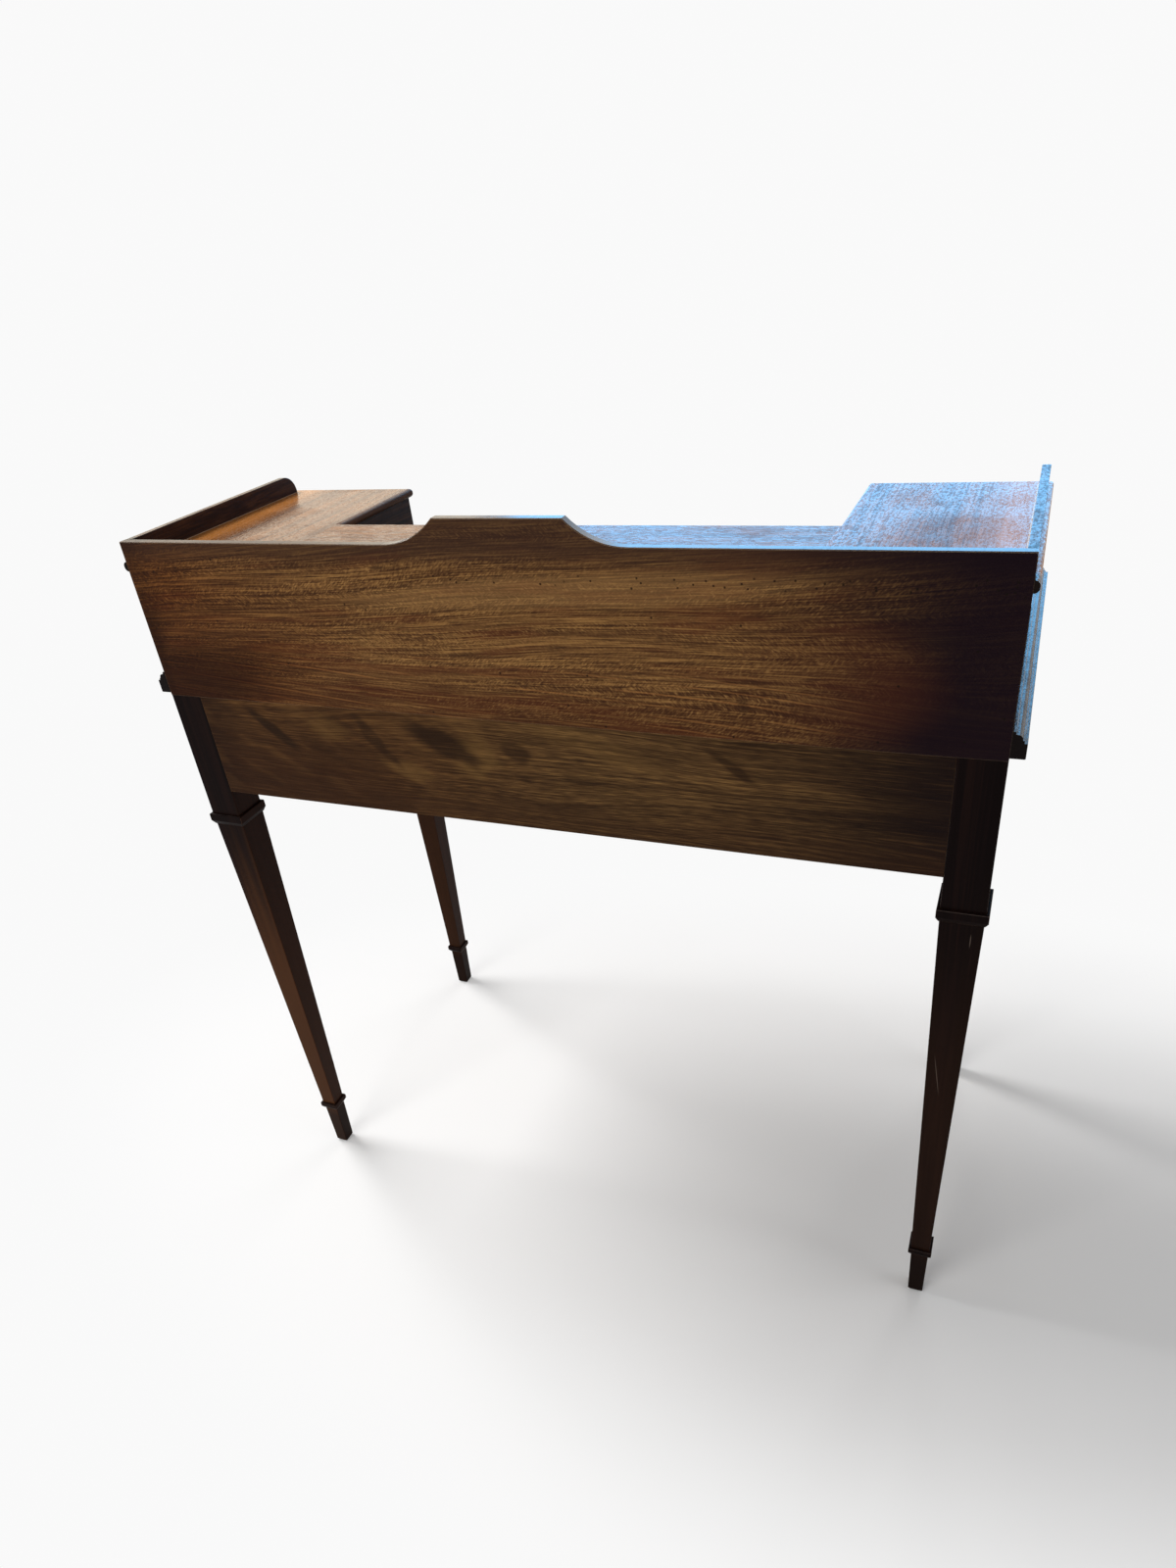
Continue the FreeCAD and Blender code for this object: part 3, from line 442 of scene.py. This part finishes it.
def stained_board():
    """The rail below the back board: plain timber, stained olive brown, with blotches.

    It is plum at the sitter's left, partly as painted shade, and russet and then dark at the
    right, where the dark beside the leg is painted shade.
    """
    finish = Finish("stained_board")
    x, z = finish.part("X"), finish.part("Z")

    # Straight lines and fibres that sway a little, over bands and a leaning mottle.
    sway = finish.noise((0.30, 1.0, 0.06), (0.33, 0, 0.21), detail=1.0)
    place = finish.moved(sway - 0.5, (0, 0, 0.03))
    line = finish.noise((0.16, 1.0, 0.0018), place=place, detail=2.0, rough=0.6)
    fibre = finish.noise((0.016, 1.0, 0.0010), place=place, detail=1.0)
    band = finish.noise((0.5, 1.0, 0.02), (0.4, 0, 0.6), place=place, detail=2.0)
    mottle = finish.noise((0.045, 1.0, 0.016), (0.1, 0, 0.1), turn=(0, -0.3, 0), detail=4.0)
    tone = line * 0.42 + fibre * 0.33 + band * 0.17 + mottle * 0.08
    colour = finish.ramp(finish.between(tone, 0.36, 0.64),
                         (0.0, stain(46, 31, 18)), (0.4, stain(70, 50, 29)),
                         (0.75, stain(84, 61, 36)), (1.0, stain(108, 80, 46)))

    # Large changes of colour along the rail, with painted shade at both ends.
    warmth = finish.between(x, -0.10, 0.20)
    colour = finish.mix(warmth, colour, (0.96, 0.86, 0.80, 1.0), "MULTIPLY")
    russet = finish.between(x + (band - 0.5) * 0.1, 0.02, 0.26)
    low = finish.between(z, table_under - 0.015, rail_foot + 0.038, 0.35, 0.85)
    colour = finish.mix(russet * low, colour, stain(48, 28, 16))
    # Painted shade at the right end, beside the leg.
    end = finish.between(x, 0.350, 0.402)
    colour = finish.mix(end * 0.7, colour, stain(28, 14, 9))
    # Plum at the sitter's left, partly the wood's colour and partly painted shade.
    plum = finish.between(x + (band - 0.5) * 0.1, -0.16, -0.42)
    colour = finish.mix(plum * 0.96, colour, stain(16, 9, 11))

    # A swirling figure on the right half.
    figure = finish.noise((0.07, 1.0, 0.020), (0.2, 0, 0.5), turn=(0, -0.45, 0), detail=1.5)
    swirl = finish.between(x, -0.05, 0.15) * 0.5
    hollow = finish.between(figure, 0.50, 0.30) * swirl
    colour = finish.mix(hollow * 0.7, colour, stain(42, 27, 16))
    crest = finish.between(figure, 0.50, 0.72) * swirl
    colour = finish.mix(crest * 0.45, colour, stain(104, 74, 42))

    # Light patches and dark blotches with ragged rims. Each has its centre and half sizes
    # along X and Z, its lean and its strength.
    drift = finish.noise((0.03, 1.0, 0.014), (0.6, 0, 0.4), turn=(0, -0.3, 0), detail=1.5)
    ragged = finish.moved(drift - 0.5, (0.03, 0, 0.02))
    patches = [
        ((0.062, 0.694), (0.030, 0.034), -0.3, 0.35),
        ((0.144, 0.671), (0.040, 0.014), -0.3, 0.3),
        ((-0.060, 0.722), (0.120, 0.016), -0.3, 0.2),
        ((0.240, 0.712), (0.036, 0.018), -0.3, 0.2),
    ]
    blotches = [
        ((0.312, 0.704), (0.050, 0.0090), -0.67, 0.95),
        ((0.183, 0.706), (0.046, 0.0090), -0.93, 0.6),
        ((0.098, 0.707), (0.056, 0.0190), -0.42, 0.9),
        ((0.013, 0.704), (0.024, 0.0150), -0.69, 0.65),
        ((-0.212, 0.707), (0.044, 0.0065), -0.62, 0.7),
        ((-0.010, 0.640), (0.160, 0.0140), 0.02, 0.3),
    ]
    for marks, tint in ((patches, stain(112, 84, 46)), (blotches, stain(36, 23, 14))):
        for centre, size, lean, strength in marks:
            mark = finish.mark(centre, size, lean, ragged)
            colour = finish.mix(mark * strength, colour, tint)

    # Grime along the foot, single strands over it all, and rubbed edges.
    grime = finish.between(z + (mottle - 0.5) * 0.03, rail_foot + 0.048, rail_foot + 0.003)
    colour = finish.mix(grime * 0.45, colour, stain(50, 31, 19))
    strand = finish.noise((0.07, 1.0, 0.0013), (0.8, 0, 0.3), place=place, detail=2.0)
    colour = finish.mix(finish.between(strand, 0.50, 0.36) * 0.4, colour, stain(34, 21, 13))
    colour = finish.mix(finish.between(strand, 0.55, 0.70) * 0.15, colour, stain(112, 80, 48))
    soft, edge = finish.arris(0.0009)
    colour = finish.mix(edge * 0.3, colour, stain(120, 90, 55))
    pore = finish.between(finish.noise((0.004, 1.0, 0.0007), detail=1.0), 0.56, 0.7)
    height = line * 0.5 - pore * 0.5
    return finish.surface(colour, 0.55 + pore * 0.15, height, 0.00012, soft, waxed)


def leg_polish(name, leg, painted_light_amount, bright=0.0, rims=(), scratches=()):
    """Dark polish on the square legs: browner in front, and browner at the arrises and lower
    down, where it is painted highlight and painted light.

    Each leg has its own amount of painted light on its lower part. A leg may have painted
    highlights on its arrises above its upper collar and scratches behind, and collars may have
    pale rims that are painted highlights.
    """
    finish = Finish(name)
    centre = figure_centre(leg, 0.31, 0.17, 0.43)
    z = finish.part("Z")
    streak = finish.noise((0.0022, 0.0022, 0.16), centre, detail=3.0, rough=0.6)
    ribbon = finish.noise((0.011, 0.011, 0.5), centre, detail=1.0)
    tone = streak * 0.45 + ribbon * 0.55
    colour = finish.ramp(finish.between(tone, 0.32, 0.68),
                         (0.0, stain(11, 6, 6)), (0.5, stain(15, 8, 8)),
                         (1.0, stain(24, 13, 11)))

    # Painted light on the lower part, most of all behind. Brown in front, and a little at the
    # sides.
    behind = finish.between(finish.facing("Y"), 0.2, 0.8)
    painted_light_low = finish.between(z + (ribbon - 0.5) * 0.25, 0.62, 0.30)
    colour = finish.mix(painted_light_low * (behind * 0.75 + 0.25) * painted_light_amount, colour, stain(76, 46, 25))
    before = finish.between(finish.facing("Y"), -0.2, -0.8)
    beside = finish.between(abs(finish.facing("X")), 0.2, 0.8) * 0.4
    colour = finish.mix((before + beside) * (0.35 + tone * 0.5), colour, stain(66, 38, 25))

    # Dark at the toes, and painted shade on the undersides of the collars.
    toe = finish.between(z + (streak - 0.5) * 0.03, lower_rim + 0.002, lower_rim - 0.028)
    under = finish.between(finish.facing("Z"), -0.1, -0.5)
    colour = finish.mix(finish.math("MAXIMUM", toe, under) * 0.75, colour, stain(20, 11, 9))

    # Chipped arrises with a painted highlight along them, up to just below the table top.
    soft, edge = finish.arris(0.0012)
    chip = finish.between(finish.noise((0.006, 0.006, 0.02), centre, detail=3.0), 0.52, 0.60)
    exposed = finish.between(z, table_under - 0.004, table_under - 0.010)
    colour = finish.mix(edge * exposed * (0.15 + chip * 0.35), colour, stain(122, 88, 64))
    # Painted highlights on the arrises just above the upper collar.
    if bright:
        above_collar = finish.between(z, upper_rim - 0.008, upper_rim + 0.017)
        below_table = finish.between(z, table_under - 0.005, table_under - 0.015)
        colour = finish.mix(edge * above_collar * below_table * bright, colour,
                            stain(190, 182, 178))

    # Pale rims of collars, which are painted highlights, and scratches.
    upright = finish.between(abs(finish.facing("Z")), 0.4, 0.2)
    for level in rims:
        rim = finish.band(z - (level - 0.0004), 0.0003, 0.0007) * upright
        colour = finish.mix(rim * 0.7, colour, stain(156, 140, 130))
    cuts = 0.0
    for middle, size, lean in scratches:
        scratch = finish.mark(middle, size, lean)
        colour = finish.mix(scratch * 0.3, colour, stain(122, 108, 98))
        cuts = cuts + scratch

    smear = finish.noise((0.03, 0.03, 0.08), centre, detail=3.0)
    roughness = 0.34 + (smear - 0.5) * 0.3 + chip * edge * 0.2
    height = streak * 0.4 - cuts
    return finish.surface(colour, roughness, height, 0.00012, soft, {"Specular IOR Level": 0.025})


def drawer_timber(name, axis, board, dark, light):
    """Unpolished timber of the runners, kickers and stops inside the carcase."""
    finish = Finish(name)
    centre = figure_centre(board, 0.29, 0.61, 0.47)
    sway = finish.noise(along(axis, 0.35, 0.08), centre, detail=1.0)
    place = finish.moved(sway - 0.5, along(axis, 0.0, 0.06))
    line = finish.noise(along(axis, 0.5, 0.005), centre, place=place, detail=3.0)
    fibre = finish.noise(along(axis, 0.02, 0.0009), centre, place=place, detail=2.0)
    tone = finish.between(line * 0.7 + fibre * 0.3, 0.36, 0.64)
    colour = finish.ramp(tone, (0.0, dark), (1.0, light))
    dust = finish.between(finish.noise((0.09, 0.09, 0.05), centre, detail=4.0), 0.5, 0.7)
    colour = finish.mix(dust * 0.3, colour, stain(92, 74, 54))
    soft, edge = finish.arris(0.0008)
    colour = finish.mix(edge * 0.35, colour, light)
    return finish.surface(colour, 0.66 + fibre * 0.15, fibre, 0.00010, soft, waxed)


def drawer_box_timber(name, board, low, high, tails):
    """A drawer box: pale lining timber, with the dovetails at the front end of its sides.

    The grain runs from front to back, but from side to side on the drawer's back.
    """
    finish = Finish(name)
    centre = figure_centre(board, 0.29, 0.61, 0.47)
    crossing = finish.between(abs(finish.facing("Y")), 0.4, 0.6)

    def grain(length, across, detail):
        lengthwise = finish.noise(along("Y", length, across), centre, detail=detail)
        crosswise = finish.noise(along("X", length, across), centre, detail=detail)
        return lengthwise * (1 - crossing) + crosswise * crossing

    line = grain(0.5, 0.006, 3.0)
    fibre = grain(0.02, 0.0009, 2.0)
    colour = finish.ramp(finish.between(line * 0.65 + fibre * 0.35, 0.36, 0.64),
                         (0.0, stain(122, 88, 56)), (1.0, stain(168, 130, 88)))

    # Dovetails: pins that widen towards the back, with darker tails between them, as far as
    # a scribed line.
    tail_length, flare = 0.012, 0.22
    pitch = (high.z - low.z) / tails
    depth = finish.part("Y") - low.y
    half_pin = pitch * 0.30 + depth * flare
    from_pin = finish.node("ShaderNodeMath", {"operation": "PINGPONG"},
                           {0: finish.part("Z") - low.z, 1: pitch / 2})
    into_tail = from_pin - half_pin
    in_joint = finish.between(depth, tail_length + 0.0005, tail_length - 0.0002)
    tail = finish.between(into_tail, -0.0002, 0.0002) * in_joint
    colour = finish.mix(tail * 0.7, colour, stain(110, 66, 40))
    seam = finish.band(into_tail, 0.0001, 0.0004) * in_joint
    scribed = finish.band(depth - tail_length, 0.0001, 0.0004)
    colour = finish.mix(seam * 0.8 + scribed * 0.35, colour, stain(52, 34, 22))

    dust = finish.between(finish.noise((0.06, 0.09, 0.05), centre, detail=4.0), 0.48, 0.7)
    colour = finish.mix(dust * 0.35, colour, stain(104, 80, 56))
    soft, edge = finish.arris(0.0008)
    colour = finish.mix(edge * 0.3, colour, stain(178, 142, 100))
    return finish.surface(colour, 0.62 + fibre * 0.15, fibre - seam, 0.00010, soft, waxed)


def hide(low, high):
    """The writing leather: grained green hide, with a thick gilt line between two thin ones."""
    finish = Finish("tooled_hide")
    middle_x, middle_y = (low.x + high.x) / 2, (low.y + high.y) / 2
    from_side = (high.x - low.x) / 2 - abs(finish.part("X") - middle_x)
    from_end = (high.y - low.y) / 2 - abs(finish.part("Y") - middle_y)
    margin = finish.math("MINIMUM", from_side, from_end)

    # Pebbled grain, darker in its creases and rubbed where a hand rests.
    pebble = finish.node("ShaderNodeTexVoronoi", {"feature": "DISTANCE_TO_EDGE"},
                         {"Vector": finish.spread((0.0016, 0.0016, 0.0016)), "Scale": 1.0},
                         "Distance")
    crease = finish.between(pebble, 0.0, 0.16)
    cloud = finish.noise((0.11, 0.09, 0.1), (0.1, 0.2, 0), detail=4.0)
    fine = finish.noise((0.004, 0.004, 0.004), detail=3.0)
    colour = finish.ramp(finish.between(cloud * 0.5 + fine * 0.5, 0.30, 0.70),
                         (0.0, stain(32, 46, 36)), (0.5, stain(44, 62, 46)),
                         (1.0, stain(62, 78, 56)))
    colour = finish.mix((1 - crease) * 0.35, colour, stain(24, 34, 27))
    worn = finish.spot((middle_x, low.y + 0.05, high.z), (0.19, 0.10, 0.1))
    worn = worn * finish.between(cloud, 0.42, 0.62)
    colour = finish.mix(worn * 0.2, colour, stain(92, 92, 64))

    # The gilt lines, by how far they lie in from the edge, and the dark rim outside them.
    thick_inset, thin_insets = 0.0125, (0.0085, 0.0165)
    thick = finish.band(margin - thick_inset, 0.0008, 0.0011)
    thin = sum(finish.band(margin - inset, 0.0003, 0.0005) for inset in thin_insets)
    gilt = (thick + thin) * finish.between(fine, 0.30, 0.42)
    colour = finish.mix(gilt, colour, stain(176, 138, 66))
    dark_rim = finish.between(margin, 0.004, 0.0)
    colour = finish.mix(dark_rim * 0.5, colour, stain(24, 32, 26))
    roughness = 0.52 - gilt * 0.15 + (fine - 0.5) * 0.2 - worn * 0.12
    height = crease * 0.5 + fine * 0.2 - gilt * 0.5
    return finish.surface(colour, roughness, height, 0.00015, None, {"Specular IOR Level": 0.3},
                          metallic=gilt * 0.7)


def brass(name):
    """Lacquered brass, brown in clouds and small spots, and bright at its edges."""
    finish = Finish(name)
    cloud = finish.noise((0.012, 0.012, 0.012), (0.3, 0.1, 0.2), detail=4.0)
    scuff = finish.noise((0.0004, 0.009, 0.0004), (0.2, 0.1, 0.2), detail=2.0)
    colour = finish.ramp(finish.between(cloud, 0.34, 0.66),
                         (0.0, stain(112, 78, 38)), (0.5, stain(170, 130, 70)),
                         (1.0, stain(206, 168, 100)))
    soft, edge = finish.arris(0.0006)
    colour = finish.mix(edge * 0.5, colour, stain(232, 204, 140))
    spots = finish.dots(0.0035, 0.0005, (0.01, 0.02, 0.03))
    colour = finish.mix(spots * 0.5, colour, stain(84, 56, 30))
    roughness = 0.26 + (cloud - 0.5) * 0.3 + (scuff - 0.5) * 0.2 + spots * 0.2
    return finish.surface(colour, roughness, scuff * 0.4 - spots * 0.4, 0.00004, soft, None,
                          metallic=1 - spots * 0.4)


# ---------------------------------------------------------------- dressing the parts

def dress(material, *names):
    """Gives CAD parts a finish."""
    for name in names:
        mesh = nodes[name].data
        mesh.materials.clear()
        mesh.materials.append(material)


dress(ribbon_veneer(), "back_board")
dress(stained_board(), "frieze_back")

# How much painted light each leg has on its lower part. The left legs and collars have
# painted highlights on their arrises and rims.
painted_light_on_leg = {"back_left": 0.12, "back_right": 0.75, "front_left": 0.3, "front_right": 0.35}
scratches = [((-0.434, 0.5495), (0.0007, 0.0095), 0.0),
             ((-0.419, 0.3715), (0.0006, 0.0330), 0.15)]
for number, (end, painted_light_amount) in enumerate(painted_light_on_leg.items()):
    is_left = end.endswith("left")
    dress(leg_polish(f"{end}_leg_polish", number, painted_light_amount, bright=0.8 if is_left else 0.0,
                     scratches=scratches if end == "back_left" else ()), f"{end}_leg")
    dress(leg_polish(f"{end}_collar_polish", number, painted_light_amount * 0.15,
                     rims=(lower_rim, upper_rim) if is_left else ()), f"{end}_collars")

# The left bank is the more worn too, its pale worn edges also painted highlights, and its
# top has a dulled place: a centre and half sizes.
dulled_place = (-0.376, 0.10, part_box("left_bank_top")[1].z), (0.075, 0.085, 0.05)
for number, side in enumerate(("left", "right")):
    is_left = side == "left"
    gloss, open_grain, worn = (0.5, 1.0, pale) if is_left else (0.2, 0.4, tan)
    dress(mahogany(f"{side}_bank_top_polish", "Y", number + 1, *warm, gloss=0.5,
                   open_grain=open_grain, by_gallery=True,
                   dulled=dulled_place if is_left else None), f"{side}_bank_top")
    dress(mahogany(f"{side}_gallery_polish", "Y", number + 3, *brown, gloss=gloss,
                   open_grain=open_grain, worn=worn), f"{side}_gallery")
    dress(mahogany(f"{side}_side_polish", "Y", number + 5, *brown), f"{side}_bank_outer_side")
    dress(mahogany(f"{side}_well_polish", "Y", number + 24, *deep), f"{side}_bank_inner_side")
    dress(mahogany(f"{side}_frieze_polish", "Y", number + 7, *deep), f"frieze_{side}")
    dress(mahogany(f"{side}_moulding_polish", "Y", number + 9, *deep, gloss=gloss,
                   worn=pale if is_left else None), f"{side}_edge_moulding")
    dress(mahogany(f"{side}_frieze_front_polish", "X", number + 11, *red, sheen=0.1),
          f"{side}_frieze_drawer_front")
    for row, level in enumerate(("lower", "upper")):
        dress(mahogany(f"{side}_{level}_front_polish", "X", number * 2 + row + 13, *red,
                       sheen=0.1), f"{side}_{level}_drawer_front")

dress(mahogany("centre_top_polish", "X", 17, *warm, gloss=0.5, open_grain=0.8), "centre_top")
dress(mahogany("table_top_polish", "X", 18, *brown, gloss=0.35), "table_top")
dress(mahogany("front_moulding_polish", "X", 19, *deep), "front_edge_moulding")
dress(mahogany("rail_polish", "X", 20, *red, sheen=0.1), "lower_rail", "upper_rail")
dress(mahogany("divider_polish", "Z", 21, *red, sheen=0.1), "drawer_divider")
dress(mahogany("pigeonhole_polish", "Y", 22, *brown),
      "left_pigeonhole_divider", "centre_pigeonhole_divider", "right_pigeonhole_divider")
dress(mahogany("shelf_polish", "X", 23, *brown), "left_bank_shelf", "right_bank_shelf")

dress(drawer_timber("runner_timber", "Y", 1, stain(104, 74, 46), stain(146, 110, 72)),
      "left_runner", "right_runner", "centre_runner", "centre_guide", "drawer_kickers")
dress(drawer_timber("stop_timber", "X", 2, stain(96, 66, 42), stain(140, 104, 70)),
      "drawer_stops")

metal = brass("aged_brass")
board = 0
for side in ("left", "right"):
    for level, tails in (("lower", 3), ("upper", 3), ("frieze", 4)):
        board += 1
        node = f"{side}_{level}_drawer_box"
        low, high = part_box(node)
        dress(drawer_box_timber(f"{node}_timber", board, low, high, tails), node)
    dress(metal, f"{side}_frieze_drawer_posts", f"{side}_frieze_drawer_bail",
          f"{side}_lower_drawer_knob", f"{side}_upper_drawer_knob")

dress(hide(*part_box("writing_leather")), "writing_leather")


# ---------------------------------------------------------------- studio

def lamp(name, centre, aim, size, power, colour, gloss=True, fill=True):
    """A soft rectangular lamp that faces a point. It may give only gloss or only fill."""
    data = bpy.data.lights.new(name, "AREA")
    data.shape = "RECTANGLE"
    data.size, data.size_y = size
    data.energy = power
    data.color = colour
    thing = bpy.data.objects.new(name, data)
    bpy.context.scene.collection.objects.link(thing)
    thing.location = centre
    thing.rotation_euler = (Vector(aim) - Vector(centre)).to_track_quat("-Z", "Y").to_euler()
    thing.visible_camera = False
    thing.visible_glossy = gloss
    thing.visible_diffuse = fill


# The key stands high on the right. Three fills soften its shadows and give no gloss.
lamp("key", (2.8, -0.45, 3.7), (0, 0, 0.4), (1.9, 1.9), 195, (1.0, 0.97, 0.93))
fills = [
    ("fill", (0.9, 2.6, 1.7), (0.1, 0.2, 0.7), 46, (1.0, 0.96, 0.9)),
    ("front_fill", (-0.5, -2.7, 1.7), (0, 0, 0.7), 24, (1.0, 0.97, 0.92)),
    ("left_fill", (-2.7, 0.1, 1.6), (0, 0, 0.6), 16, (1.0, 0.98, 0.96)),
]
for name, centre, aim, power, colour in fills:
    lamp(name, centre, aim, (1.8, 1.4), power, colour, gloss=False)

# Three windows in a wall in front of the desk, which give gloss and nothing else.
wall = -2.6
windows = [
    ("blue_window", (0.15, 1.33), (2.6, 1.50), 38, (0.02, 0.47, 1.0)),
    ("skylight", (0.05, 2.69), (2.6, 1.2), 10, (0.85, 0.95, 1.0)),
    ("warm_window", (2.75, 1.6), (2.3, 1.3), 6.0, (1.0, 0.84, 0.50)),
]
for name, (x, z), size, power, colour in windows:
    lamp(name, (x, wall, z), (x, 0, z), size, power, colour, fill=False)

# The world lights the desk dimly, but the camera, glass and metal see it nearly white.
dim, near_white = grey(0.22), grey(0.95)
studio = Tree(bpy.data.worlds.new("studio"))
bpy.context.scene.world = bpy.data.worlds["studio"]
to_camera = studio.node("ShaderNodeLightPath", output="Is Camera Ray")
through_glass = studio.node("ShaderNodeLightPath", output="Is Transmission Ray")
reflected = studio.node("ShaderNodeLightPath", output="Is Glossy Ray")
shown = studio.math("MAXIMUM", studio.math("MAXIMUM", to_camera, through_glass),
                    reflected * 0.75)
sky = studio.mix(shown, dim, near_white)
background = studio.node("ShaderNodeBackground", None, {"Color": sky, "Strength": 1.0})
studio.node("ShaderNodeOutputWorld", None, {"Surface": background})


def make_floor():
    """A pale floor that keeps the desk's shadow and runs out into the white round it."""
    mesh = bpy.data.meshes.new("floor")
    shape = bmesh.new()
    bmesh.ops.create_grid(shape, x_segments=1, y_segments=1, size=9.0)
    shape.to_mesh(mesh)
    shape.free()
    floor = bpy.data.objects.new("floor", mesh)
    bpy.context.scene.collection.objects.link(floor)

    finish = Finish("pale_floor")
    cool_white = (0.685, 0.70, 0.725, 1.0)
    lit = finish.node("ShaderNodeBsdfDiffuse", None, {"Color": cool_white})
    glow = finish.node("ShaderNodeEmission", None, {"Color": grey(1.0), "Strength": 0.05})
    paper = finish.node("ShaderNodeAddShader", None, {0: lit, 1: glow})
    to_camera = finish.node("ShaderNodeLightPath", output="Is Camera Ray")
    reflected = finish.node("ShaderNodeLightPath", output="Is Glossy Ray")
    seen = finish.math("MAXIMUM", to_camera, reflected)
    near = finish.node("ShaderNodeMixShader", None, {"Fac": seen, 1: lit, 2: paper})
    haze = finish.node("ShaderNodeEmission", None, {"Color": near_white, "Strength": 1.0})
    by_desk = finish.spot((-0.35, 0.04, 0), (1.45, 0.70, 1.0))
    far = (1 - by_desk) * seen
    mesh.materials.append(finish.made_of(
        finish.node("ShaderNodeMixShader", None, {"Fac": far, 1: near, 2: haze})))


make_floor()

# The camera stands behind the left end of the desk, a little above it, and looks down.
camera = bpy.data.cameras.new("camera")
camera.lens = 23.462
camera.sensor_width = 36.0
camera.sensor_fit = "AUTO"
camera.shift_x = -0.0015
camera.shift_y = 0.0707
camera.clip_start = 0.01
viewer = bpy.data.objects.new("camera", camera)
bpy.context.scene.collection.objects.link(viewer)
viewer.location = (-0.4448, 1.0474, 1.1465)
viewer.rotation_euler = tuple(math.radians(angle) for angle in (56.204, 5.582, -158.069))
bpy.context.scene.camera = viewer
bpy.context.scene.view_settings.view_transform = "Standard"
